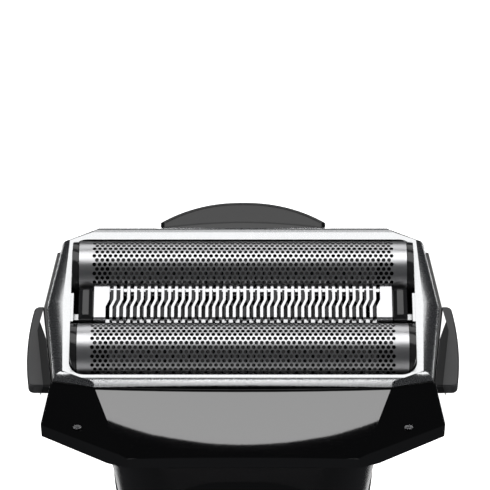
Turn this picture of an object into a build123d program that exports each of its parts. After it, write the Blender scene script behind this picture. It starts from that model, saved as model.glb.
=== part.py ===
from build123d import *
from functools import lru_cache
import os

# Three-blade wet/dry foil shaver: upright handle, swivelling head with its own linear drive, pop-up trimmer.
#
# Row frame: +Z up along the handle, -Y is the front, origin at the middle of the base. Millimetres.
# The head is drawn in its own frame, whose origin is midway between the axes of the two outer foils,
# and is moved into place by save_head. Bars, pins and blocks are given by the values they span.

# ---- driving dimensions: head -------------------------------------------------------------------
AXIS_Z = 153.0          # height of the outer foils' axes above the base
HEAD_Y = -5.5           # the head's centre stands this far forward of the origin
FOIL_RADIUS = 4.2
FOIL_SHEET = 0.15
FOIL_Y = 7.3            # outer foils' axes, either side of the head's centre
FOIL_HALF_LENGTH = 24.3
CAP_END = 25.3          # outer face of a foil's end cap
BLADE_RADIUS = 3.98
BLADE_HALF_LENGTH = 21.8
BLADE_PITCH = 1.2
BLADE_SLOT = 0.85
RIM_TOP = 1.15          # the foil frame's rim above the foil axes
FRAME_FOOT = -1.05
OPENING = (51.0, 24.0, 2.2)     # the foil frame's window: length, depth, corner radius
FRAME_OUTLINE = [(21.9, -12.75), (27.9, -11.6), (29.2, 1.0), (27.2, 12.6), (21.8, 15.2)]
FRAME_SHOULDER = [(21.9, -12.7), (27.5, -11.5), (28.6, 1.0), (26.7, 12.3), (21.6, 14.7)]
FRAME_RIM = [(23.6, -12.5), (26.4, -11.3), (26.7, 0.6), (25.9, 11.9), (22.6, 13.3)]
HEAD_TOP = -1.2         # upper edge of the head's covers
HEAD_FLOOR = -20.0
HEAD_WALL = 1.15
HEAD_SPLIT_Y = 1.0      # plane where the front and rear head covers meet
CROWN_RADIUS = 600.0    # the front panel is slightly crowned
BULGE_RADIUS = 80.0     # the back is rounder
REAR_LEAN_RADIUS = 92.0         # its bevelled upper edge is part of a leaning cylinder
REAR_LEAN_TOP = (0, 16.45, -1)
REAR_LEAN_NORMAL = (0, 0.796, 0.605)
FRONT_NORMAL = (0, -0.983, 0.182)
FRONT_TOP = (0, -13.3, -1)
# the head's other faces: a point on each and its outward normal; those off the middle are mirrored
HEAD_FACES = [
    ((28.1, -11.8, -1), (0.169, -0.975, 0.148)),        # front corner facet
    ((30.1, -13, -11.2), (0.272, -0.950, -0.155)),      # bevel below it
    ((0, -16.0, -15.6), (0, -0.98, -0.2)),              # band under the front panel
    ((28.1, -11.8, -1), (0.97, -0.115, 0.2)),           # side, front half
    ((29.6, 1, -1), (0.965, 0.17, 0.2)),                # side, rear half
    ((31.4, 0, -12), (0.993, -0.1, 0)),                 # side below the widest line, front half
    ((31.4, 2, -12), (0.985, 0.17, 0)),                 # and rear half
    ((30.3, -12.6, -15.5), (0.418, 0, -0.909)),         # underside
    ((22, 15.6, -1), (0.40, 0.85, 0.35)),               # rear corner
    ((0, 20, -6), (0, 0.98, -0.2)),                     # rear, drawn in towards the neck
]
SOFT_EDGE = 0.3         # rounding of the front cover's upper edges and creases, given by their middles
SOFT_EDGES = [(0, -13.3, -1.2), (24.9, -12.4, -1.2), (28.9, -5.4, -1.2), (20.0, -14.3, -8.3), (29.1, -12.4, -6.2)]
CHIN_EDGE = (0, -16.0, -15.6)
COMB_TOP = 2.4
COMB_HALF_WIDTH = 2.85
COMB_HALF_LENGTH = 22.0
COMB_WALL = 0.4
SLOT_PITCH = 1.01
SLOT_WIDTH = 0.6
SLOT_COUNT = 40
SLOT_LEAN = 0.55        # each slot steps this far sideways at its middle
SLIT_BLADE_HALF_LENGTH = 19.6
SLIT_BLADE_PITCH = 1.35
DECK = (-8.2, -7.2)     # plate between the blades and the motor
SEAL = (-7.2, -6.8)
CARRIER_FOOT = -4.0
COLLAR = (-6.6, -6.1)   # the drive pins' spring seats
STROKE = 1.2            # each mover's travel either side of the middle
PIN_RADIUS = 1.0
SLIT_PIN_RADIUS = 0.8
MOTOR_HALF_LENGTH = 16.0
MOTOR_HALF_DEPTH = 9.4
MOTOR_FOOT = -17.6
PIVOT_Z = -16.0         # the head's two swivel axes cross here, under the middle of the foils
PIVOT_PIN_RADIUS = 0.8
ARM = (16.9, 18.3)      # the yoke's arms, either side
RUNNING_FIT = 0.05
BUTTON_SPAN = ((-8.8, 5.4), (-9.2, -7.0))       # release button along Y and Z
BUTTON_BOW = [(31.9, -8.8), (32.25, -2.5), (31.3, 5.4)]     # its outer edge is an arc through these
BUTTON_GAP = 0.2
BUTTON_LIP = (-11.4, -6.3)      # the flange behind it, which the spring pushes on
SCREW_AT = (24.6, -10.6)        # the two front screws: either side, and height
SCREW_FACE_Y = -13.87

# ---- driving dimensions: handle -----------------------------------------------------------------
NECK_TOP = 128.6        # top face of the handle
CAP_TOP = 4.5           # the bottom cap's seam
WALL = 1.8
SPLIT_Y = 2.0           # plane where the front and rear housings meet
# height, half width, front, back, front corner radius, back corner radius
HANDLE_SECTIONS = [
    (0.0, 15.8, -13.2, 14.2, 8.0, 13.0),
    (30.0, 17.6, -14.6, 16.8, 9.0, 15.5),
    (62.0, 18.6, -15.0, 18.2, 9.5, 17.5),
    (96.0, 19.4, -16.0, 19.8, 10.0, 19.0),
    (NECK_TOP, 21.6, -18.0, 21.3, 10.5, 21.0),
    (146.0, 21.6, -18.0, 21.3, 10.5, 21.0),
]
BUTTON_Z = 98.0
BUTTON_RADIUS = 6.5
WINDOW_Z = 62.0
BOARD_Y = (-9.6, -8.4)
CELL_RADIUS = 7.0
CELL_Z = (22.0, 72.0)
CELL_Y = 1.0
TRIMMER_HALF_WIDTH = 12.7
TRIMMER_FRONT = 16.3
TRIMMER_FOOT = 98.0
TRIMMER_TOP = 143.3
TOOTH_PITCH = 1.1
TRIMMER_MOTOR = (18.5, 1.15)    # the trimmer motor's axis along Y, and its radius
RECESS_WALL = (14.6, 15.9)
INLET_TOP = 10.5        # inner end of the charging inlet
CAP_SCREW_X = 9.6
YOKE_FOOT = 116.0       # the swivel's yoke stands on the chassis here
GAITER_TOP = 135.3
GAITER_Y = -5.2

HEAD = Pos(0, HEAD_Y, AXIS_Z)
FAR = (-60.0, 60.0)
FAR_UP = (-60.0, 200.0)


# ---- small helpers ------------------------------------------------------------------------------
def block(x, y, z):
    """Box between two values on each axis."""
    size = [high - low for low, high in (x, y, z)]
    middle = [(low + high) / 2 for low, high in (x, y, z)]
    return Pos(*middle) * Box(*size)


def rod(axis, at, span, radius):
    """Round bar along 'x', 'y' or 'z', through the two other coordinates in at."""
    length = span[1] - span[0]
    middle = (span[0] + span[1]) / 2
    if axis == "x":
        return Pos(middle, *at) * Rot(0, 90, 0) * Cylinder(radius, length)
    if axis == "y":
        return Pos(at[0], middle, at[1]) * Rot(90, 0, 0) * Cylinder(radius, length)
    return Pos(*at, middle) * Cylinder(radius, length)


def ring(axis, at, span, outer, inner):
    return rod(axis, at, span, outer) - rod(axis, at, span, inner)


def both_sides(part):
    """The part and its mirror image across the middle plane."""
    return part + mirror(part, about=Plane.YZ)


def behind(part, point, normal):
    """What lies behind the plane through point, whose normal points out of the part."""
    return split(part, bisect_by=Plane(origin=point, z_dir=normal), keep=Keep.BOTTOM)


def coil(axis, at, span, radius, wire, turns):
    """Helical spring along an axis through at, between the two values of span."""
    height = span[1] - span[0] - 2 * wire
    helix = Helix(pitch=height / turns, height=height, radius=radius)
    start = Plane(origin=helix @ 0, z_dir=helix % 0)
    body = Pos(0, 0, wire) * sweep(start * Circle(wire), path=helix)
    if axis == "x":
        return Pos(span[0], *at) * Rot(0, 90, 0) * body
    if axis == "y":
        return Pos(at[0], span[0], at[1]) * Rot(-90, 0, 0) * body
    return Pos(*at, span[0]) * body


def grouped(shape):
    """A list of separate solids as one group; a single shape as it is."""
    return Compound([solid for item in shape for solid in item.solids()]) if isinstance(shape, list) else shape


def save(name, shape, place=Pos(0, 0, 0)):
    export_step(place * grouped(shape), f"parts/{name}.step")


def save_head(name, shape):
    save(name, shape, HEAD)


# ---- head covers --------------------------------------------------------------------------------
@lru_cache
def head_form(inset=0.0):
    """The head's faceted outer form, with every face moved inwards by inset except the top."""
    form = block((-34, 34), (-19, 23), (HEAD_FLOOR + inset, HEAD_TOP))
    for point, normal in HEAD_FACES:
        for side in (1, -1) if normal[0] else (1,):
            way = Vector(side * normal[0], normal[1], normal[2]).normalized()
            start = Vector(side * point[0], point[1], point[2]) - way * inset
            form = behind(form, start, way)
    front = Vector(*FRONT_NORMAL).normalized()
    axis_point = Vector(*FRONT_TOP) - front * CROWN_RADIUS
    crown_axis = Plane(origin=axis_point, z_dir=(0, FRONT_NORMAL[2], -FRONT_NORMAL[1]))
    crown = crown_axis.location * Cylinder(CROWN_RADIUS - inset, 90)
    bulge = Pos(0, 20 - BULGE_RADIUS, -10) * Cylinder(BULGE_RADIUS - inset, 60)
    rear = Vector(*REAR_LEAN_NORMAL).normalized()
    axis_point = Vector(*REAR_LEAN_TOP) - rear * REAR_LEAN_RADIUS
    lean_axis = Plane(origin=axis_point, z_dir=(0, -rear.Z, rear.Y))
    lean = lean_axis.location * Cylinder(REAR_LEAN_RADIUS - inset, 120)
    return form & crown & bulge & lean


def edge_at(form, x, y, z):
    """The edge whose middle is nearest to a point."""
    return form.edges().sort_by(lambda edge: (edge.center() - Vector(x, y, z)).length)[0]


def softened(form):
    edges = []
    for x, y, z in SOFT_EDGES:
        edges += [edge_at(form, side * x, y, z) for side in ((1, -1) if x else (1,))]
    form = fillet(edges, SOFT_EDGE)
    return fillet(edge_at(form, *CHIN_EDGE), SOFT_EDGE)


def save_head_covers():
    shell = softened(head_form()) - head_form(HEAD_WALL)
    mouth = extrude(Plane.XY.offset(-30) * Pos(0, 0.4) * RectangleRounded(44, 25.6, 6), 13)
    shell -= mouth
    shell -= extrude(Plane.XY.offset(-5) * RectangleRounded(51.4, 23.9, 2.0), 6)    # room for the foils' ends
    button_y, button_z = BUTTON_SPAN
    window = block((20, 40), (button_y[0] - BUTTON_GAP, button_y[1] + BUTTON_GAP),
                   (button_z[0] - BUTTON_GAP, button_z[1] + BUTTON_GAP))
    shell -= both_sides(window)
    for side in (1, -1):
        at = (side * SCREW_AT[0], SCREW_AT[1])
        shell -= rod("y", at, (-20, SCREW_FACE_Y + 0.45), 0.75)
        shell -= rod("y", at, (-20, -10), 0.45)
    front = behind(shell, (0, HEAD_SPLIT_Y, 0), (0, 1, 0))
    rear = behind(shell, (0, HEAD_SPLIT_Y, 0), (0, -1, 0))
    save_head("head_front_cover", front)
    save_head("head_rear_cover", rear)


def save_release_buttons():
    (front, back), height = BUTTON_SPAN
    bow = ThreePointArc(*BUTTON_BOW)
    rest = Polyline(BUTTON_BOW[2], (27.6, back), (27.6, front), BUTTON_BOW[0])
    bar = extrude(Plane.XY.offset(height[0]) * make_face(Curve() + [bow, rest]), height[1] - height[0])
    ends = bar.edges().filter_by(Axis.Z).group_by(Axis.X)[1:]
    bar = fillet([edge for group in ends for edge in group], 0.9)
    bar = fillet([edge for edge in bar.edges().filter_by(Axis.Z, reverse=True) if edge.center().X > 31.0], 0.3)
    lip = block((26.9, 27.7), (front - 0.8, back + 0.8), BUTTON_LIP)
    button = bar + lip
    spring = coil("x", (-2.0, -9.7), (24.6, 26.9), 1.1, 0.18, 3)
    save_head("right_release_button", button)
    save_head("left_release_button", mirror(button, about=Plane.YZ))
    save_head("release_springs", both_sides(spring))


def save_deck():
    """Plate between the wet side and the motor, with lugs for the front screws and spring posts."""
    button_y, button_z = BUTTON_SPAN
    side_room = block((25.4, 40), (button_y[0] - 1.4, button_y[1] + 1.4), (-20, -5))
    plan = head_form(HEAD_WALL + 0.05)
    plate = (plan & block(FAR, FAR, DECK)) - both_sides(side_room)
    seal = (head_form(HEAD_WALL + 0.6) & block(FAR, FAR, SEAL)) - both_sides(side_room)
    slots = Part()
    for y, radius in ((-FOIL_Y, PIN_RADIUS), (0, SLIT_PIN_RADIUS), (FOIL_Y, PIN_RADIUS)):
        reach = STROKE + radius + 0.3
        slots += block((-reach, reach), (y - radius - 0.3, y + radius + 0.3), (-10, -5))
    lug = block((23.3, 25.4), (-12.1, -9.4), (SCREW_AT[1] - 1.4, DECK[0]))
    lug -= rod("y", SCREW_AT, (-13, -9.9), 0.36)
    post = block((23.6, 24.6), (-3.8, -0.2), (-11.6, DECK[0]))
    save_head("head_deck", plate - slots + both_sides(lug + post))
    save_head("deck_seal", seal - slots)

    screws = Part()
    for side in (1, -1):
        at = (side * SCREW_AT[0], SCREW_AT[1])
        head = rod("y", at, (SCREW_FACE_Y + 0.1, SCREW_FACE_Y + 0.45), 0.65)
        drive = block((at[0] - 0.3, at[0] + 0.3), (SCREW_FACE_Y, SCREW_FACE_Y + 0.25), (at[1] - 0.1, at[1] + 0.1))
        cross = block((at[0] - 0.1, at[0] + 0.1), (SCREW_FACE_Y, SCREW_FACE_Y + 0.25), (at[1] - 0.3, at[1] + 0.3))
        screws += head + rod("y", at, (SCREW_FACE_Y + 0.4, -10.0), 0.36) - drive - cross
    save_head("head_screws", screws)


# ---- linear motor -------------------------------------------------------------------------------
def save_motor():
    end, depth = MOTOR_HALF_LENGTH, MOTOR_HALF_DEPTH
    base = block((-end, end), (-depth, depth), (MOTOR_FOOT, -16.8))
    posts = both_sides(block((end - 0.8, end), (-depth, depth), (MOTOR_FOOT, DECK[0])))
    lugs = block((-3, 3), (-depth, -depth + 1), (MOTOR_FOOT, -14.5))
    lugs += block((-3, 3), (depth - 1, depth), (MOTOR_FOOT, -14.5))
    pin_bore = rod("y", (0, PIVOT_Z), (-20, 20), PIVOT_PIN_RADIUS + RUNNING_FIT)
    save_head("motor_frame", base + posts + lugs - pin_bore)

    limbs = Part()
    for x in (-5.6, 0.0, 5.6):
        limbs += block((x - 1.3, x + 1.3), (-2.6, 2.6), (-14.4, -11.0))
    core = block((-7.4, 7.4), (-2.6, 2.6), (-15.6, -14.2)) + limbs
    winding = block((-3.2, 3.2), (-4.0, 4.0), (-14.1, -11.2)) - block((-1.5, 1.5), (-2.7, 2.7), (-20, 0))
    winding = fillet(winding.edges().filter_by(Axis.Z).group_by(SortBy.DISTANCE)[-1], 0.8)
    core_rest = block((-6.6, 6.6), (-1.8, 1.8), (-16.8, -15.6))
    save_head("stator_core", core + core_rest)
    save_head("motor_coil", winding)

    bar = block((-13, 13), (-8.6, -4.6), (-14.2, -9.9))
    bar = fillet(bar.edges().filter_by(Axis.Z), 0.8)
    pole = block((-10.5, 10.5), (-4.8, -4.3), (-13.6, -10.6))
    pin = rod("z", (0, -FOIL_Y), (-10.2, -3.0), PIN_RADIUS) + rod("z", (0, -FOIL_Y), COLLAR, 2.0)
    arm = block((-1.2, 1.2), (-6.0, 1.0), (-9.9, -8.7))
    slit_pin = rod("z", (0, 0), (-9.2, -3.0), SLIT_PIN_RADIUS) + rod("z", (0, 0), COLLAR, 1.7)
    front = bar + pole + pin
    save_head("front_mover", front + arm + slit_pin)
    save_head("rear_mover", mirror(front, about=Plane.XZ))

    strips = Part()
    for y in (-6.6, 6.6):
        strips += both_sides(block((14.35, 14.5), (y - 1.6, y + 1.6), (-16.6, DECK[0])))
        strips += both_sides(block((14.5, end - 0.8), (y - 1.6, y + 1.6), (DECK[0] - 1.2, DECK[0])))
    save_head("leaf_springs", strips)


# ---- inner blades -------------------------------------------------------------------------------
def stepped_slot(x, width, reach, lean, z):
    """Slot across the comb, straight at both ends, with a sideways step near its middle."""
    right, left = x + width / 2, x - width / 2
    corners = [(left, reach), (right, reach), (right, 0.4), (right - lean, -0.9), (right - lean, -reach),
               (left - lean, -reach), (left - lean, -0.9), (left, 0.4)]
    outline = make_face(Polyline(*[(cx, cy, z[0]) for cx, cy in corners], close=True))
    return extrude(outline, z[1] - z[0], dir=(0, 0, 1))


def save_blades():
    for name, y in (("front", -FOIL_Y), ("rear", FOIL_Y)):
        arch = ring("x", (0, 0), (-BLADE_HALF_LENGTH, BLADE_HALF_LENGTH), BLADE_RADIUS, 3.3)
        arch = arch & block(FAR, FAR, (-1.0, 9))
        count = int((BLADE_HALF_LENGTH - 1) / BLADE_PITCH)
        places = [index * BLADE_PITCH for index in range(-count, count + 1)]
        slots = [block((x - BLADE_SLOT / 2, x + BLADE_SLOT / 2), (-5, 5), (-0.3, 9)) for x in places]
        save_head(f"{name}_inner_blade", Pos(0, y, 0) * (arch - slots))
        carrier = block((-20, 20), (-3.7, 3.7), (-2.6, -1.0))
        carrier += block((-6, 6), (-2.8, 2.8), (CARRIER_FOOT, -1.0))
        carrier -= rod("z", (0, 0), (-9, -1.4), PIN_RADIUS + RUNNING_FIT)
        save_head(f"{name}_blade_carrier", Pos(0, y, 0) * carrier)
    springs = [coil("z", (0, y), (COLLAR[1], CARRIER_FOOT), 1.55, 0.18, 3) for y in (-FOIL_Y, FOIL_Y)]
    save_head("front_blade_springs", springs[0] + coil("z", (0, 0), (COLLAR[1], CARRIER_FOOT), 1.3, 0.16, 3))
    save_head("rear_blade_spring", springs[1])

    length = SLIT_BLADE_HALF_LENGTH
    blade = block((-length, length), (-2.35, 2.35), (-0.6, 1.95)) - block(FAR, (-1.95, 1.95), (-2, 1.55))
    count = int((length - 1) / SLIT_BLADE_PITCH)
    slots = []
    for index in range(-count, count + 1):
        slots.append(stepped_slot(index * SLIT_BLADE_PITCH, 0.8, 3.0, -0.9, (1.0, 3.0)))
    save_head("slit_inner_blade", blade - slots)
    carrier = block((-18, 18), (-2.2, 2.2), (-2.2, -0.6))
    carrier += block((-5, 5), (-2.2, 2.2), (CARRIER_FOOT, -0.6))
    carrier -= rod("z", (0, 0), (-9, -1.2), SLIT_PIN_RADIUS + RUNNING_FIT)
    save_head("slit_blade_carrier", carrier)


# ---- foil frame and what floats in it -----------------------------------------------------------
def arched(span, radius, foot):
    """Solid with a half-round top, standing down to foot."""
    return (rod("x", (0, 0), span, radius) & block(FAR, FAR, (0, 9))) + block(span, (-radius, radius), (foot, 0))


def peg_slot(x, y=0.0):
    """Upright slot in which a float slides on its frame peg."""
    return block(x, (y - 0.7, y + 0.7), (-2.75, -0.15))


def save_foils():
    length = FOIL_HALF_LENGTH
    window = extrude(Plane.XY.offset(-9) * RectangleRounded(50.6, 23.6, 2.0), 20)
    for name, y in (("front", -FOIL_Y), ("rear", FOIL_Y)):
        sheet = arched((-length, length), FOIL_RADIUS, -2.6)
        sheet -= arched((-length - 1, length + 1), FOIL_RADIUS - FOIL_SHEET, -9)
        save_head(f"{name}_foil", Pos(0, y, 0) * sheet)
        cap = arched((length + 0.1, CAP_END), 4.15, -3.4) - peg_slot((24.7, 26))
        cap += arched((23.4, length + 0.1), FOIL_RADIUS - FOIL_SHEET - 0.05, -2.6)
        save_head(f"{name}_foil_caps", (Pos(0, y, 0) * both_sides(cap)) & window)


def save_comb():
    length, foot = COMB_HALF_LENGTH, -1.0
    side = [(COMB_HALF_WIDTH, foot), (COMB_HALF_WIDTH, 0.6), (3.05, 1.5), (3.05, COMB_TOP)]
    outline = side + [(-y, z) for y, z in reversed(side)]
    face = make_face(Polyline(*[(-length, y, z) for y, z in outline], close=True))
    bar = extrude(face, 2 * length, dir=(1, 0, 0))
    bar = fillet(bar.edges().filter_by(Axis.X).group_by(Axis.Z)[-1], 0.45)
    channel = bar - block(FAR, (-COMB_HALF_WIDTH + COMB_WALL, COMB_HALF_WIDTH - COMB_WALL),
                          (-9, COMB_TOP - COMB_WALL))
    middle = (SLOT_COUNT - 1) / 2
    slots = []
    for index in range(SLOT_COUNT):
        x = (index - middle) * SLOT_PITCH + SLOT_LEAN / 2
        slots.append(stepped_slot(x, SLOT_WIDTH, 4.0, SLOT_LEAN, (1.3, 3.0)))
    save_head("slit_comb", channel - slots)

    end = block((length + 0.15, FOIL_HALF_LENGTH), (-2.85, 2.85), (-3.0, 2.3))
    end = chamfer(end.edges().group_by(Axis.Z)[-1], 0.6)
    end -= peg_slot((23.6, 26))
    end += block((21.2, length + 0.15), (-2.4, 2.4), (foot, COMB_TOP - COMB_WALL - 0.05))
    save_head("comb_end_blocks", both_sides(end))


def frame_section(points, z):
    outline = points + [(-x, y) for x, y in reversed(points)]
    return Pos(0, 0, z) * make_face(Polyline(*outline, close=True))


def save_foil_frame():
    levels = ((FRAME_OUTLINE, FRAME_FOOT), (FRAME_SHOULDER, 0.2), (FRAME_RIM, RIM_TOP))
    body = loft([frame_section(points, z) for points, z in levels])
    window = extrude(Plane.XY.offset(-9) * RectangleRounded(*OPENING), 20)
    body -= window
    wall = block((25.6, 26.6), (-10.4, 9.4), (-4.6, FRAME_FOOT))
    tab = block((25.1, 25.7), (-2.5, 2.5), (-1.0, 0.9))
    pegs = [block((24.9, 25.7), (y - 0.5, y + 0.5), (-2.6, -1.8)) for y in (-FOIL_Y, FOIL_Y)]
    pegs.append(block((23.8, 25.7), (-0.5, 0.5), (-2.6, -1.8)))
    save_head("foil_frame", body + both_sides(wall + tab + pegs))


# ---- swivel -------------------------------------------------------------------------------------
def save_swivel():
    height = (PIVOT_Z - 1.4, PIVOT_Z + 1.4)
    plan = RectangleRounded(40.8, 23.4, 3.5) - RectangleRounded(38.4, 20.6, 2.2)
    gimbal = extrude(Plane.XY.offset(height[0]) * plan, height[1] - height[0])
    gimbal -= rod("y", (0, PIVOT_Z), (-30, 30), PIVOT_PIN_RADIUS + 0.01)
    gimbal -= rod("x", (0, PIVOT_Z), (-30, 30), PIVOT_PIN_RADIUS + 0.01)
    save_head("pivot_frame", gimbal)
    roll_pin = rod("y", (0, PIVOT_Z), (8.2, 11.7), PIVOT_PIN_RADIUS)
    pitch_pin = rod("x", (0, PIVOT_Z), (16.7, 20.4), PIVOT_PIN_RADIUS)
    save_head("pivot_pins", [roll_pin, mirror(roll_pin, about=Plane.XZ), pitch_pin,
                             mirror(pitch_pin, about=Plane.YZ)])

    arm = block(ARM, (-3, 3), (YOKE_FOOT - AXIS_Z, PIVOT_Z)) + rod("x", (0, PIVOT_Z), ARM, 3.0)
    arm -= rod("x", (0, PIVOT_Z), (10, 30), PIVOT_PIN_RADIUS + RUNNING_FIT)
    plate = block((-ARM[1], ARM[1]), (-3.5, 10), (YOKE_FOOT - AXIS_Z, YOKE_FOOT - AXIS_Z + 2))
    save_head("neck_yoke", both_sides(arm) + plate)

    folds = []
    for index in range(8):
        step = (GAITER_TOP - NECK_TOP) / 8
        inset = 0.5 * (index % 2)
        outline = RectangleRounded(41 - 2 * inset, 23.6 - 2 * inset, 5.5 - inset)
        folds.append(extrude(Plane.XY.offset(NECK_TOP + index * step) * Pos(0, GAITER_Y) * outline, step))
    hollow = extrude(Plane.XY.offset(100) * Pos(0, GAITER_Y) * RectangleRounded(39.2, 21.8, 4.6), 60)
    save("neck_gaiter", folds[0] + folds[1:] - hollow)
    collar = handle_form(WALL + 0.05) & block(FAR, FAR, (NECK_TOP - 2, NECK_TOP))
    collar &= block(FAR, (-30, RECESS_WALL[0] - 0.1), FAR_UP)
    save("neck_collar", collar - hollow)


# ---- handle -------------------------------------------------------------------------------------
def handle_section(z, half_width, front, back, front_radius, back_radius, inset):
    outline = Rectangle(2 * (half_width - inset), back - front - 2 * inset)
    outline = fillet(outline.vertices().group_by(Axis.Y)[0], front_radius - inset)
    outline = fillet(outline.vertices().group_by(Axis.Y)[-1], back_radius - inset)
    return Pos(0, (front + back) / 2, z) * outline


@lru_cache
def handle_form(inset=0.0):
    """The handle's outer form, with its side walls moved inwards by inset."""
    return loft([handle_section(*row, inset) for row in HANDLE_SECTIONS])


def front_zone(width, height, z_middle, corner):
    """Prism along Y over the front of the handle."""
    return extrude(Plane.XZ * Pos(0, z_middle) * RectangleRounded(width, height, corner), 40)


def flank_zone(outset):
    """Prism along X over the right flank, where the grip lies."""
    return extrude(Plane.YZ * Pos(1.0, 66.0) * RectangleRounded(17 + outset, 88 + outset, 6), 40)


def save_housings():
    outer = handle_form()
    shell = (outer - handle_form(WALL)) & block(FAR, FAR, (CAP_TOP, NECK_TOP))
    window_zone = front_zone(9, 20, WINDOW_Z, 3.5)
    button_hole = rod("y", (0, BUTTON_Z), (-30, -5), BUTTON_RADIUS + 0.2)
    bezel = (outer - handle_form(1.0)) & front_zone(23, 104, 72, 9)
    grip = (handle_form(-0.3) - handle_form(0.9)) & flank_zone(0)
    beds = (outer - handle_form(1.0)) & front_zone(23.1, 104.1, 72, 9)
    beds += both_sides((handle_form(-0.4) - handle_form(0.9)) & flank_zone(0.1))
    shell -= beds

    front = behind(shell, (0, SPLIT_Y - 0.05, 0), (0, 1, 0)) - button_hole
    front -= front_zone(7, 18, WINDOW_Z, 2.5) & block(FAR, (-30, -5), FAR_UP)
    half = TRIMMER_HALF_WIDTH + 0.3
    recess = block((-half, half), (RECESS_WALL[1], 40), (TRIMMER_FOOT - 0.5, 160))
    backing = block((-half - 1.2, half + 1.2), RECESS_WALL, (TRIMMER_FOOT - 1.7, NECK_TOP))
    backing += block((-half - 1.2, half + 1.2), (RECESS_WALL[0], 40), (TRIMMER_FOOT - 1.7, TRIMMER_FOOT - 0.5))
    backing -= block((-2.3, 2.3), (10, 30), (TRIMMER_FOOT - 0.3, TRIMMER_FOOT + 25))
    rear = (behind(shell, (0, SPLIT_Y, 0), (0, -1, 0)) - recess) + (backing & outer)
    save("front_housing", front)
    save("rear_housing", rear)
    save("front_bezel", bezel - window_zone - button_hole)
    lens = (outer - handle_form(0.95)) & front_zone(8.8, 19.8, WINDOW_Z, 3.4)
    save("display_window", lens)
    save("right_grip", grip)
    save("left_grip", mirror(grip, about=Plane.YZ))


def save_base():
    outer = handle_form()
    socket_hole = block((-4.7, 4.7), (-3.2, 3.2), (-5, 5))
    cap = (outer & block(FAR, FAR, (0, CAP_TOP))) - (handle_form(WALL) & block(FAR, FAR, (3, 9)))
    cap = fillet(cap.edges().group_by(Axis.Z)[0], 1.4)
    cap += (handle_form(2.3) - handle_form(3.4)) & block(FAR, FAR, (2.9, 8.5))
    cap -= socket_hole
    screws = []
    for x in (-CAP_SCREW_X, CAP_SCREW_X):
        cap -= rod("z", (x, 0), (-1, 1.5), 2.0) + rod("z", (x, 0), (-1, 5), 1.0)
        screw = rod("z", (x, 0), (0.4, 1.5), 1.85) + rod("z", (x, 0), (1.4, 14.8), 0.9)
        screws.append(screw - block((x - 1.2, x + 1.2), (-0.25, 0.25), (0, 0.9))
                      - block((x - 0.25, x + 0.25), (-1.2, 1.2), (0, 0.9)))
    save("bottom_cap", cap)
    save("cap_screws", screws)
    save("cap_seal", (handle_form(WALL + 0.03) - handle_form(2.27)) & block(FAR, FAR, (5.5, 6.7)))
    socket = block((-6.2, 6.2), (-4.7, 4.7), (3, 12.5)) - block((-4.6, 4.6), (-3.1, 3.1), (0, INLET_TOP))
    pins = [rod("z", (x, 0), (INLET_TOP - 2, 14.7), 0.7) for x in (-2.2, 2.2)]
    save("inlet_socket", socket - pins)
    save("inlet_pins", pins)


def save_insides():
    board = block((-9, 9), BOARD_Y, (30, 108))
    chips = block((-4, 3), (-10.4, BOARD_Y[0]), (36, 43)) + block((4.5, 7.5), (-10.6, BOARD_Y[0]), (45, 50))
    chips += block((-7.5, -4.5), (-10.8, BOARD_Y[0]), (78, 84)) + block((2, 7), (-10.4, BOARD_Y[0]), (76, 82))
    save("circuit_board", board + chips)
    leds = [block((-0.9, 0.9), (-10.5, BOARD_Y[0]), (z - 0.6, z + 0.6)) for z in (55, 58.5, 62, 65.5, 69)]
    save("status_leds", leds)
    back = BOARD_Y[1]
    chassis = block((-13.4, 13.4), (-7.9, -6.3), (15, YOKE_FOOT))
    chassis += block((-12, 12), (-7.9, 5), (15, 17)) + block((-8, 8), (-6.4, 8.2), (18.8, 20.4))
    chassis += block((-8, 8), (-6.4, 8.2), (74, 75.6)) + block((-12, 12), (-7.9, 5), (YOKE_FOOT - 1.6, YOKE_FOOT))
    chassis += both_sides(block((7.4, 8.6), (-6.4, 4), (24, 70)))
    chassis += both_sides(block((6, 8), (back, -7.8), (34, 36)) + block((6, 8), (back, -7.8), (102, 104)))
    for x in (-CAP_SCREW_X, CAP_SCREW_X):
        chassis += rod("z", (x, 0), (9.2, 15.2), 2.1)
        chassis -= rod("z", (x, 0), (0, 17.5), 0.91)
    save("chassis", chassis)
    save("battery_cell", rod("z", (0, CELL_Y), CELL_Z, CELL_RADIUS) + rod("z", (0, CELL_Y), (72, 73.2), 2.6))
    tabs = [block((-3, 3), (-6.3, 4), (20.5, 20.9)) + rod("z", (0, CELL_Y), (20.8, CELL_Z[0]), 1.6),
            block((-3, 3), (-6.3, 4), (73.2, 73.6))]
    save("battery_tabs", tabs)
    switch = block((-2.4, 2.4), (-11.2, BOARD_Y[0]), (BUTTON_Z - 2.4, BUTTON_Z + 2.4))
    save("power_switch", switch + rod("y", (0, BUTTON_Z), (-11.5, -11.1), 1.2))

    face = -16.5
    button = fillet(rod("y", (0, BUTTON_Z), (face, -13.5), BUTTON_RADIUS).edges().group_by(Axis.Y)[0], 0.5)
    button += rod("y", (0, BUTTON_Z), (-13.7, -12.9), 7.8) + rod("y", (0, BUTTON_Z), (-13, -12.4), 1.5)
    save("power_button", button)
    save("button_spring", coil("y", (0, BUTTON_Z), (-12.9, BOARD_Y[0]), 4.6, 0.25, 3))


# ---- trimmer ------------------------------------------------------------------------------------
def toothed_plate(inset, half_width, z):
    """Blade with parallel teeth, its tips following the handle's rounded back."""
    plate = handle_form(inset) & block((-half_width, half_width), (17.5, 40), z)
    root = handle_form(inset + 1.5)
    count = int(half_width / TOOTH_PITCH)
    gaps = []
    for index in range(-count, count + 1):
        x = index * TOOTH_PITCH
        gaps.append(block((x - 0.25, x + 0.25), (15, 40), z))
    return plate - (Compound(gaps) - root)


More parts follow.
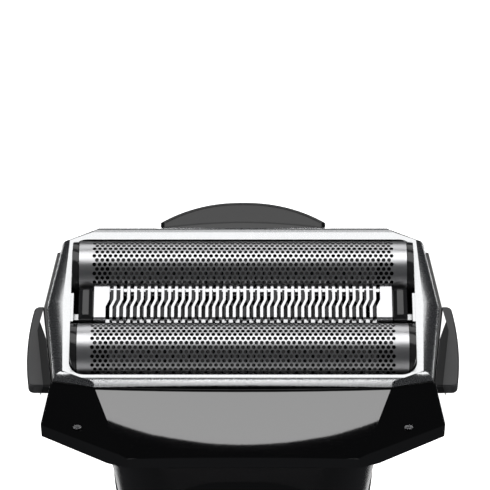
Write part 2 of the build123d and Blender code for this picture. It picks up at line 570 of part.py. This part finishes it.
def save_trimmer():
    half, foot = TRIMMER_HALF_WIDTH, TRIMMER_FOOT
    body = handle_form(0.1) & block((-half, half), (TRIMMER_FRONT, 40), (foot, TRIMMER_TOP))
    body = fillet(body.edges().group_by(Axis.Z)[-1].sort_by(Axis.Y)[1:], 0.9)
    body -= handle_form(1.4) & block((-11.5, 11.5), (17.3, 40), (foot + 2, 139.9))
    body -= block((-11.3, 11.3), (17.45, 40), (139.85, 140.95))
    body += block((-2.1, 2.1), (14.1, TRIMMER_FRONT), (foot + 0.4, foot + 13))
    body += block((-3.6, 3.6), (13.3, 14.3), (foot + 0.4, foot + 13))
    save("trimmer_housing", body)

    fixed = toothed_plate(0.15, 11.0, (139.9, 140.4)) - block((-4.6, 4.6), (17, 19.2), (130, 150))
    moving = toothed_plate(0.5, 9.8, (140.45, 140.85))
    moving += block((-3, 3), (17.7, 19.0), (135.5, 140.6))
    moving -= block((-2.15, 2.15), (17, 20), (135, 137.8))
    save("trimmer_fixed_blade", fixed)
    save("trimmer_moving_blade", moving)
    y, radius = TRIMMER_MOTOR
    motor = rod("z", (0, y), (121, 133.5), radius) + rod("z", (0, y), (133.4, 134.6), 0.3)
    save("trimmer_motor", motor)
    disc = ring("z", (0, y), (133.9, 134.9), radius, 0.33) + rod("z", (0, y + 0.75), (134.8, 137.2), 0.3)
    save("trimmer_eccentric", disc + rod("z", (0, y), (134.65, 134.9), 0.5))
    pad = (handle_form(-0.55) - handle_form(0.1)) & block((-6, 6), (10, 40), (foot + 5, foot + 15))
    for index in range(4):
        z = foot + 6.6 + index * 2.2
        pad -= (handle_form(-2) - handle_form(-0.2)) & block((-9, 9), (10, 40), (z, z + 0.8))
    save("trimmer_thumb_pad", pad)


def main():
    os.makedirs("parts", exist_ok=True)
    save_head_covers()
    save_release_buttons()
    save_deck()
    save_motor()
    save_blades()
    save_foils()
    save_comb()
    save_foil_frame()
    save_swivel()
    save_housings()
    save_base()
    save_insides()
    save_trimmer()


main()
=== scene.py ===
"""Looks of the foil shaver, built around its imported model. Metres, +Z up, -Y is the front."""

from math import cos, pi, radians, sin

import bmesh
import bpy
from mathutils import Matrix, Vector


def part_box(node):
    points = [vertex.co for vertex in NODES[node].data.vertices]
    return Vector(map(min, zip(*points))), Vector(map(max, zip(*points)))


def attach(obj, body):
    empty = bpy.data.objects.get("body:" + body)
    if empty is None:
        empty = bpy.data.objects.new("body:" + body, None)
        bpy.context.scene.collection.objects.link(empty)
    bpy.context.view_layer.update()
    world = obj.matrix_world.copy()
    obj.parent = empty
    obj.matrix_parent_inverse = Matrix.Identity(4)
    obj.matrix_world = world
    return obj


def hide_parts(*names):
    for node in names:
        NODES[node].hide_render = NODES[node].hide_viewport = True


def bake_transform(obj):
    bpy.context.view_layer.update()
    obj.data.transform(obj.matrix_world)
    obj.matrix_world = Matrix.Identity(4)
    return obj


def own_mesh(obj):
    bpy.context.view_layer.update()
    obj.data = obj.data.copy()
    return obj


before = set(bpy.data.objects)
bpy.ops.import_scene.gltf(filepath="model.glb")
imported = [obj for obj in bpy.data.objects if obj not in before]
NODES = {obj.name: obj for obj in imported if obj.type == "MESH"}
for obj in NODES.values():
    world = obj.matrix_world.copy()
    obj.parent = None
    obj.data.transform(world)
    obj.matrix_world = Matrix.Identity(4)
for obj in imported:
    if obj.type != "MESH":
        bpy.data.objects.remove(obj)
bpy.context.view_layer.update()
MM = 0.001

# ---- places worked out from the frame -------------------------------------------------------------
FRONT_LOW, FRONT_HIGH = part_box("front_foil")
REAR_LOW, REAR_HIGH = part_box("rear_foil")
FOIL_RADIUS = (FRONT_HIGH.y - FRONT_LOW.y) / 2
FOIL_AXIS_Z = FRONT_HIGH.z - FOIL_RADIUS
HEAD_CENTRE = Vector((0, (FRONT_LOW.y + REAR_HIGH.y) / 2, FOIL_AXIS_Z))

# ---- driving sizes ----------------------------------------------------------------------------------
HOLE_PITCH = 0.787 * MM         # along a row of foil holes
ROW_PITCH = 0.68 * MM
HOLE_RADIUS = 0.3 * MM
HOLES_IN_ROW = 57
HOLE_ROWS = 18
FOIL_SHEET = 0.08 * MM
FIELD_EDGE = HOLES_IN_ROW * HOLE_PITCH / 2      # where the holes stop and the plain ends begin
QUARTER_TURN = FOIL_RADIUS * pi / 2             # round the arch, from its top to its side
POINTS_PER_METRE = 1e7          # the net's points that round to the same place are one
CAP_EDGE = 0.3 * MM             # rounding of the foils' end caps
BLOCK_EDGE = 0.2 * MM           # and of the comb's end blocks
MERGE_GAP = 0.002 * MM          # corners this close are one before their edges are rounded
CREASE_ANGLE = 7                # degrees; only sharper edges are rounded
FINE_DETAIL, TONE_DETAIL = 5.0, 3.0     # octaves of the two noises in a surface
TONE_SPREAD = 12                        # its tone varies this much more coarsely than its roughness
RELIEF_HEIGHT = 0.02 * MM
COLOUR_MIX_SOCKETS = (0, 6, 7)          # factor, first and second colour of a colour Mix node
COLOUR_MIX_RESULT = 2
FLOOR_SPAN = 3.0
WORLD_STRENGTH = 0.04
GAITER_FOLDS = 4
GAITER_DEPTH = 0.6 * MM
GAITER_SHEET = 0.6 * MM
GAITER_CORNER = 5.5 * MM
CAMERA_DISTANCE = 0.55
CAMERA_AZIMUTH = 0.0
CAMERA_ELEVATION = 55.5
LOOK_OFFSET = Vector((0.3, 8.0, 5.5)) * MM      # from the head's centre
LENS = 272.7
SENSOR_WIDTH = 36
NEAR_CLIP = 0.01


# ---- materials ----------------------------------------------------------------------------------------
def add_noise(nodes, links, mapping, scale, detail):
    noise = nodes.new("ShaderNodeTexNoise")
    noise.inputs["Scale"].default_value = scale
    noise.inputs["Detail"].default_value = detail
    links.new(mapping.outputs["Vector"], noise.inputs["Vector"])
    return noise


def surface(name, color, metallic, roughness, grain=900.0, stretch=(1, 1, 1), wander=0.04, relief=0.02,
            tint=0.12, **sockets):
    """Principled surface whose roughness, tone and fine relief come from stretched noise.

    grain is the noise's scale per metre, wander how far the roughness strays, relief the bump's
    strength and tint how far the colour strays from its mean."""
    material = bpy.data.materials.new(name)
    material.use_nodes = True
    nodes, links = material.node_tree.nodes, material.node_tree.links
    shader = nodes["Principled BSDF"]
    shader.inputs["Metallic"].default_value = metallic
    for socket, value in sockets.items():
        shader.inputs[socket.replace("_", " ")].default_value = value
    place = nodes.new("ShaderNodeTexCoord")
    mapping = nodes.new("ShaderNodeMapping")
    mapping.inputs["Scale"].default_value = stretch
    links.new(place.outputs["Object"], mapping.inputs["Vector"])

    fine = add_noise(nodes, links, mapping, grain, FINE_DETAIL)
    rough = nodes.new("ShaderNodeMapRange")
    rough.inputs["To Min"].default_value = max(0.0, roughness - wander)
    rough.inputs["To Max"].default_value = roughness + wander
    links.new(fine.outputs["Fac"], rough.inputs["Value"])
    links.new(rough.outputs["Result"], shader.inputs["Roughness"])

    coarse = add_noise(nodes, links, mapping, grain / TONE_SPREAD, TONE_DETAIL)
    tone = nodes.new("ShaderNodeMix")
    tone.data_type = "RGBA"
    factor, darker, lighter = [tone.inputs[index] for index in COLOUR_MIX_SOCKETS]
    darker.default_value = [channel * (1 - tint) for channel in color] + [1]
    lighter.default_value = [min(1.0, channel * (1 + tint)) for channel in color] + [1]
    links.new(coarse.outputs["Fac"], factor)
    links.new(tone.outputs[COLOUR_MIX_RESULT], shader.inputs["Base Color"])

    bump = nodes.new("ShaderNodeBump")
    bump.inputs["Strength"].default_value = relief
    bump.inputs["Distance"].default_value = RELIEF_HEIGHT
    links.new(fine.outputs["Fac"], bump.inputs["Height"])
    links.new(bump.outputs["Normal"], shader.inputs["Normal"])
    return material


def dress(material, *names):
    for name in names:
        slots = NODES[name].data.materials
        slots.clear()
        slots.append(material)


def soften(width, *names):
    """Rounds the visible edges of flat-faced CAD pieces."""
    for name in names:
        weld = NODES[name].modifiers.new("weld", "WELD")
        weld.merge_threshold = MERGE_GAP
        bevel = NODES[name].modifiers.new("bevel", "BEVEL")
        bevel.width = width
        bevel.segments = 3
        bevel.limit_method = "ANGLE"
        bevel.angle_limit = radians(CREASE_ANGLE)
        bevel.harden_normals = True


def make_materials():
    gloss = surface("piano_black", (0.003, 0.003, 0.0032), 0.0, 0.016, grain=2500, wander=0.006, relief=0.003)
    satin = surface("satin_black", (0.005, 0.005, 0.0052), 0.0, 0.25, grain=6000, relief=0.06)
    silver = surface("silver_trim", (0.5, 0.505, 0.51), 1.0, 0.27, grain=9000, wander=0.02, relief=0.015,
                     tint=0.03)
    steel = surface("foil_steel", (0.6, 0.6, 0.61), 1.0, 0.33, grain=2500, stretch=(0.08, 1, 1), relief=0.05)
    blade = surface("blade_steel", (0.62, 0.62, 0.63), 1.0, 0.22, grain=2500, stretch=(1, 0.1, 1), relief=0.08)
    cap = surface("cap_black", (0.02, 0.02, 0.021), 0.0, 0.16, grain=3000, relief=0.02)
    # painted shade: the inner blades' steel is made near black, standing in for the shade they sit in under the
    # foils and comb
    dark = surface("inner_blade_steel_painted_shade", (0.03, 0.03, 0.031), 1.0, 0.25, grain=2500, stretch=(1, 0.1, 1),
                   relief=0.08)
    grey = surface("button_grey", (0.05, 0.05, 0.052), 0.0, 0.42, grain=7000, relief=0.12)
    rubber = surface("rubber_black", (0.005, 0.005, 0.005), 0.0, 0.62, grain=5000, relief=0.2)
    acetal = surface("carrier_plastic", (0.03, 0.03, 0.032), 0.0, 0.4, grain=2500, relief=0.03, tint=0.03)
    inner = surface("inner_plastic", (0.07, 0.07, 0.075), 0.0, 0.45, grain=3000, relief=0.05)
    iron = surface("laminated_iron", (0.3, 0.3, 0.31), 1.0, 0.4, grain=4000, stretch=(1, 6, 1), relief=0.2)
    copper = surface("copper_wire", (0.72, 0.3, 0.12), 1.0, 0.3, grain=2500, stretch=(1, 1, 8), relief=0.3)
    nickel = surface("nickel_plate", (0.7, 0.62, 0.45), 1.0, 0.25, grain=3000, relief=0.03)
    wrap = surface("cell_wrap", (0.05, 0.12, 0.18), 0.0, 0.35, grain=900, relief=0.04)
    board = surface("solder_mask", (0.02, 0.1, 0.04), 0.0, 0.35, grain=1200, relief=0.1)
    led = surface("led_diffuser", (0.7, 0.72, 0.7), 0.0, 0.3, grain=2000, relief=0.02)
    window = surface("smoked_window", (0.006, 0.006, 0.008), 0.0, 0.05, grain=2500, wander=0.01, relief=0.004)
    dress(gloss, "head_front_cover", "head_rear_cover", "front_bezel")
    dress(satin, "front_housing", "rear_housing", "bottom_cap", "trimmer_housing")
    dress(silver, "foil_frame")
    dress(steel, "slit_comb")
    # the inner blades take the near-black steel, which paints in their shade under the foils
    dress(dark, "front_inner_blade", "rear_inner_blade", "slit_inner_blade")
    dress(blade, "trimmer_fixed_blade", "trimmer_moving_blade", "head_screws", "cap_screws", "pivot_pins",
          "leaf_springs",
          "front_blade_springs", "rear_blade_spring", "release_springs", "button_spring",
          "trimmer_eccentric", "trimmer_motor")
    dress(cap, "front_foil_caps", "rear_foil_caps", "comb_end_blocks")
    dress(grey, "left_release_button", "right_release_button", "power_button", "trimmer_thumb_pad")
    dress(rubber, "left_grip", "right_grip", "neck_gaiter", "deck_seal", "cap_seal")
    dress(acetal, "front_blade_carrier", "rear_blade_carrier", "slit_blade_carrier", "front_mover",
          "rear_mover")
    dress(inner, "head_deck", "motor_frame", "chassis", "neck_collar", "inlet_socket", "pivot_frame",
          "neck_yoke", "power_switch")
    dress(iron, "stator_core")
    dress(copper, "motor_coil")
    dress(nickel, "inlet_pins", "battery_tabs")
    dress(wrap, "battery_cell")
    dress(board, "circuit_board")
    dress(led, "status_leds")
    dress(window, "display_window")
    return {"steel": steel, "rubber": rubber}


# ---- perforated foils ---------------------------------------------------------------------------------
def add_mesh(name, points, faces, material, smooth=True):
    mesh = bpy.data.meshes.new(name)
    mesh.from_pydata(points, [], faces)
    mesh.update()
    for polygon in mesh.polygons:
        polygon.use_smooth = smooth
    mesh.materials.append(material)
    piece = bpy.data.objects.new(name, mesh)
    bpy.context.scene.collection.objects.link(piece)
    return piece


def crisp(piece, angle=30):
    """Applies the piece's modifiers and keeps its edges over angle sharp."""
    shaped = piece.evaluated_get(bpy.context.evaluated_depsgraph_get())
    piece.data = bpy.data.meshes.new_from_object(shaped)
    piece.modifiers.clear()
    piece.data.set_sharp_from_angle(angle=radians(angle))
    return piece


class Sheet:
    """Flat net of points on the foil, (along, round), that later wraps over the arch."""

    def __init__(self):
        self.index = {}
        self.points = []
        self.faces = []

    def at(self, along, around):
        key = (round(along * POINTS_PER_METRE), round(around * POINTS_PER_METRE))
        if key not in self.index:
            self.index[key] = len(self.points)
            self.points.append((along, around))
        return self.index[key]

    def face(self, corners):
        numbers = [self.at(*corner) for corner in corners]
        if len(set(numbers)) > 2:
            self.faces.append(numbers)

    def side_face(self, side, corners):
        """A face of the right half, or its mirror image in the left one."""
        corners = [(side * along, around) for along, around in corners]
        self.face(corners if side > 0 else corners[::-1])


def cell_border(x, s):
    """Twelve points round one cell, in step with the rows above and below it, which are half a cell off."""
    half, tall = HOLE_PITCH / 2, ROW_PITCH / 2
    top = [(x + half - step * half / 2, s + tall) for step in range(4)]
    bottom = [(x - half + step * half / 2, s - tall) for step in range(4)]
    return [(x + half, s)] + top + [(x - half, s + tall), (x - half, s)] + bottom + [(x + half, s - tall)]


def add_cell(sheet, x, s):
    """One hole with the sheet round it."""
    border = cell_border(x, s)
    hole = []
    for along, around in border:
        reach = Vector((along - x, around - s))
        spot = Vector((x, s)) + reach.normalized() * HOLE_RADIUS
        hole.append((spot.x, spot.y))
    for step in range(len(border)):
        after = (step + 1) % len(border)
        sheet.face([border[step], border[after], hole[after], hole[step]])


def add_row_ends(sheet, s, count, end):
    """The half cells that fill up a shorter row, and the plain ends of the foil beside the row."""
    tall = ROW_PITCH / 2
    edge = count * HOLE_PITCH / 2
    bend = edge + HOLE_PITCH / 4
    for side in (1, -1):
        if count < HOLES_IN_ROW:
            sheet.side_face(side, [(edge, s - tall), (bend, s - tall), (FIELD_EDGE, s - tall), (FIELD_EDGE, s),
                                   (FIELD_EDGE, s + tall), (bend, s + tall), (edge, s + tall), (edge, s)])
        sheet.side_face(side, [(FIELD_EDGE, s - tall), (end, s - tall), (end, s + tall),
                               (FIELD_EDGE, s + tall), (FIELD_EDGE, s)])


def add_skirts(sheet, end, foot):
    """Plain bands from the outer rows down to the foil's foot, with the rows' own points along the top."""
    quarter = HOLE_PITCH / 4
    levels = [HOLE_ROWS * ROW_PITCH / 2, QUARTER_TURN, foot]
    for side, row in ((1, HOLE_ROWS - 1), (-1, 0)):
        count = HOLES_IN_ROW - row % 2
        start = count * HOLE_PITCH / 2
        ends = [-end, -FIELD_EDGE]
        if count < HOLES_IN_ROW:
            ends.append(-start - quarter)
        corners_of_cells = [-start + step * quarter for step in range(4 * count + 1)]
        marks = ends + corners_of_cells + [-mark for mark in reversed(ends)]
        for near, far in zip(levels, levels[1:]):
            for left, right in zip(marks, marks[1:]):
                corners = [(left, side * near), (left, side * far), (right, side * far), (right, side * near)]
                sheet.face(corners if side < 0 else corners[::-1])


def wrapped(sheet, centre_y):
    """The net's points laid over the arch, and straight down from its quarter turns."""
    points = []
    for along, around in sheet.points:
        turn = min(abs(around), QUARTER_TURN) / FOIL_RADIUS
        drop = max(0.0, abs(around) - QUARTER_TURN)
        out = FOIL_RADIUS * sin(turn) * (1 if around > 0 else -1)
        points.append((along, centre_y + out, FOIL_AXIS_Z + FOIL_RADIUS * cos(turn) - drop))
    return points


def perforated_foil(name, low, high, material):
    """Arched sheet with staggered rows of round holes, plain at both ends and down its skirts."""
    sheet = Sheet()
    for row in range(HOLE_ROWS):
        s = (row - (HOLE_ROWS - 1) / 2) * ROW_PITCH
        count = HOLES_IN_ROW - row % 2
        for index in range(count):
            add_cell(sheet, (index - (count - 1) / 2) * HOLE_PITCH, s)
        add_row_ends(sheet, s, count, high.x)
    add_skirts(sheet, high.x, QUARTER_TURN + FOIL_AXIS_Z - low.z)

    piece = add_mesh(name, wrapped(sheet, (low.y + high.y) / 2), sheet.faces, material)
    thick = piece.modifiers.new("sheet", "SOLIDIFY")
    thick.thickness = FOIL_SHEET
    thick.offset = -1
    return crisp(piece)


def make_foils(materials):
    for side, low, high in (("front", FRONT_LOW, FRONT_HIGH), ("rear", REAR_LOW, REAR_HIGH)):
        foil = perforated_foil(f"{side}_foil_mesh", low, high, materials["steel"])
        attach(foil, f"{side}_foil")
        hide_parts(f"{side}_foil")


# ---- rubber gaiter between the handle and the swivel frame --------------------------------------------
def rounded_loop(half_x, half_y, radius, steps=8):
    """Points round a rectangle with round corners, counter-clockwise from the right side."""
    points = []
    for corner, (sx, sy) in enumerate(((1, 1), (-1, 1), (-1, -1), (1, -1))):
        for step in range(steps + 1):
            turn = pi / 2 * (corner + step / steps)
            points.append((sx * (half_x - radius) + radius * cos(turn),
                           sy * (half_y - radius) + radius * sin(turn)))
    return points


def make_gaiter(material):
    low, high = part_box("neck_gaiter")
    centre = (low + high) / 2
    half_x, half_y = (high.x - low.x) / 2, (high.y - low.y) / 2
    levels = 4 * GAITER_FOLDS
    points, faces = [], []
    for level in range(levels + 1):
        share = level / levels
        tuck = GAITER_DEPTH * (1 - cos(2 * pi * share * GAITER_FOLDS)) / 2 + GAITER_SHEET / 2
        loop = rounded_loop(half_x - tuck, half_y - tuck, GAITER_CORNER - tuck)
        for x, y in loop:
            points.append((centre.x + x, centre.y + y, low.z + share * (high.z - low.z)))
    count = len(points) // (levels + 1)
    for level in range(levels):
        for step in range(count):
            after = (step + 1) % count
            near, far = level * count, (level + 1) * count
            faces.append((near + step, near + after, far + after, far + step))
    gaiter = add_mesh("gaiter_bellows", points, faces, material)
    sheet = gaiter.modifiers.new("sheet", "SOLIDIFY")
    sheet.thickness = GAITER_SHEET
    sheet.offset = 0
    crisp(gaiter, 50)
    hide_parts("neck_gaiter")
    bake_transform(gaiter)


# ---- coil springs -------------------------------------------------------------------------------------
def make_coil(name, node, body, chosen=lambda point: True):
    """One coil of a spring node, split off as a piece of its own on the given body."""
    mesh = NODES[node].data.copy()
    form = bmesh.new()
    form.from_mesh(mesh)
    others = [vertex for vertex in form.verts if not chosen(vertex.co)]
    bmesh.ops.delete(form, geom=others, context="VERTS")
    form.to_mesh(mesh)
    form.free()
    coil = bpy.data.objects.new(name, mesh)
    bpy.context.scene.collection.objects.link(coil)
    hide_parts(node)
    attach(coil, body)

    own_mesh(coil)


def make_springs():
    between = (FRONT_HIGH.y + HEAD_CENTRE.y) / 2        # parts the front blade's spring from the slit blade's
    make_coil("button_coil", "button_spring", "handle")
    make_coil("right_release_coil", "release_springs", "head",
              lambda point: point.x > 0)
    make_coil("left_release_coil", "release_springs", "head",
              lambda point: point.x < 0)
    make_coil("front_blade_coil", "front_blade_springs", "front_mover",
              lambda point: point.y < between)
    make_coil("slit_blade_coil", "front_blade_springs", "front_mover",
              lambda point: point.y > between)
    make_coil("rear_blade_coil", "rear_blade_spring", "rear_mover")


# ---- camera, lights and floor -------------------------------------------------------------------------
def look_along(thing, position, target):
    thing.location = position
    thing.rotation_euler = (target - position).to_track_quat("-Z", "Y").to_euler()


def add_camera():
    data = bpy.data.cameras.new("camera")
    data.lens = LENS
    data.sensor_width = SENSOR_WIDTH
    data.clip_start = NEAR_CLIP
    camera = bpy.data.objects.new("camera", data)
    bpy.context.scene.collection.objects.link(camera)
    azimuth, elevation = radians(CAMERA_AZIMUTH), radians(CAMERA_ELEVATION)
    back = Vector((sin(azimuth) * cos(elevation), -cos(azimuth) * cos(elevation), sin(elevation)))
    target = HEAD_CENTRE + LOOK_OFFSET
    look_along(camera, target + back * CAMERA_DISTANCE, target)
    bpy.context.scene.camera = camera


def add_light(name, position, target, size, power, shape="RECTANGLE"):
    data = bpy.data.lights.new(name, "AREA")
    data.shape = shape
    data.size, data.size_y = size
    data.energy = power
    light = bpy.data.objects.new(name, data)
    bpy.context.scene.collection.objects.link(light)
    look_along(light, HEAD_CENTRE + Vector(position), HEAD_CENTRE + Vector(target))
    return light


def add_world():
    world = bpy.data.worlds.new("studio")
    world.use_nodes = True
    background = world.node_tree.nodes["Background"]
    background.inputs["Color"].default_value = (0.9, 0.93, 1, 1)
    background.inputs["Strength"].default_value = WORLD_STRENGTH
    bpy.context.scene.world = world
    bpy.context.scene.view_settings.view_transform = "Standard"


def add_lights():
    """Places and targets are from the head's centre: name, place, target, size, watts."""
    add_light("overhead_softbox", (0.0, 0.24, 0.55), (0, 0, 0), (0.75, 0.46), 2.3)
    add_light("rear_softbox", (0.0, 0.60, 0.16), (0, 0, 0), (0.9, 0.36), 1.1)
    add_light("front_fill", (0.0, -0.26, 0.56), (0, 0, 0), (0.7, 0.40), 0.03)
    # mirrored by the front panel and by the front of the silver frame
    add_light("front_card", (0.0, -0.2654, -0.1896), (0, -0.0133, -0.001), (0.115, 0.0246), 0.040, "ELLIPSE")
    add_light("low_card", (0.0, -0.2250, -0.2325), (0, -0.0127, -0.001), (0.11, 0.06), 0.042)
    for side in (1, -1):
        # mirrored by the rear and front halves of the head's side
        add_light("under_side", (side * 0.035, 0.10, -0.135), (side * 0.03, 0.005, -0.005), (0.07, 0.12), 0.035)
        add_light("outer_side", (side * 0.10, 0.09, -0.135), (side * 0.03, 0.0, -0.005), (0.05, 0.08), 0.04)
        # streaks down the handle
        add_light("side_strip", (side * 0.5, -0.12, -0.05), (0, 0, -0.06), (0.22, 0.4), 0.9)
        add_light("front_strip", (side * 0.3, -0.55, -0.04), (0, 0, -0.06), (0.14, 0.4), 0.55)
    add_light("front_softbox", (0.0, -0.7, -0.06), (0, 0, -0.07), (0.22, 0.4), 0.12)
    add_light("under_back", (0.0, 0.13, -0.125), (0, 0.018, -0.003), (0.12, 0.05), 0.04)


def add_floor():
    paper = surface("floor_paper", (0.86, 0.86, 0.86), 0.0, 0.8, grain=300, relief=0.02, tint=0.01,
                    Emission_Color=(1, 1, 1, 1), Emission_Strength=1.0)
    corners = [(x * FLOOR_SPAN, y * FLOOR_SPAN, 0) for x, y in ((-1, -1), (1, -1), (1, 1), (-1, 1))]
    floor = add_mesh("floor", corners, [(0, 1, 2, 3)], paper, smooth=False)
    floor.visible_glossy = False
    floor.visible_diffuse = False


add_camera()
add_world()
add_lights()
add_floor()
MATERIALS = make_materials()
make_foils(MATERIALS)
make_gaiter(MATERIALS["rubber"])
make_springs()
soften(CAP_EDGE, "front_foil_caps", "rear_foil_caps")
soften(BLOCK_EDGE, "comb_end_blocks")
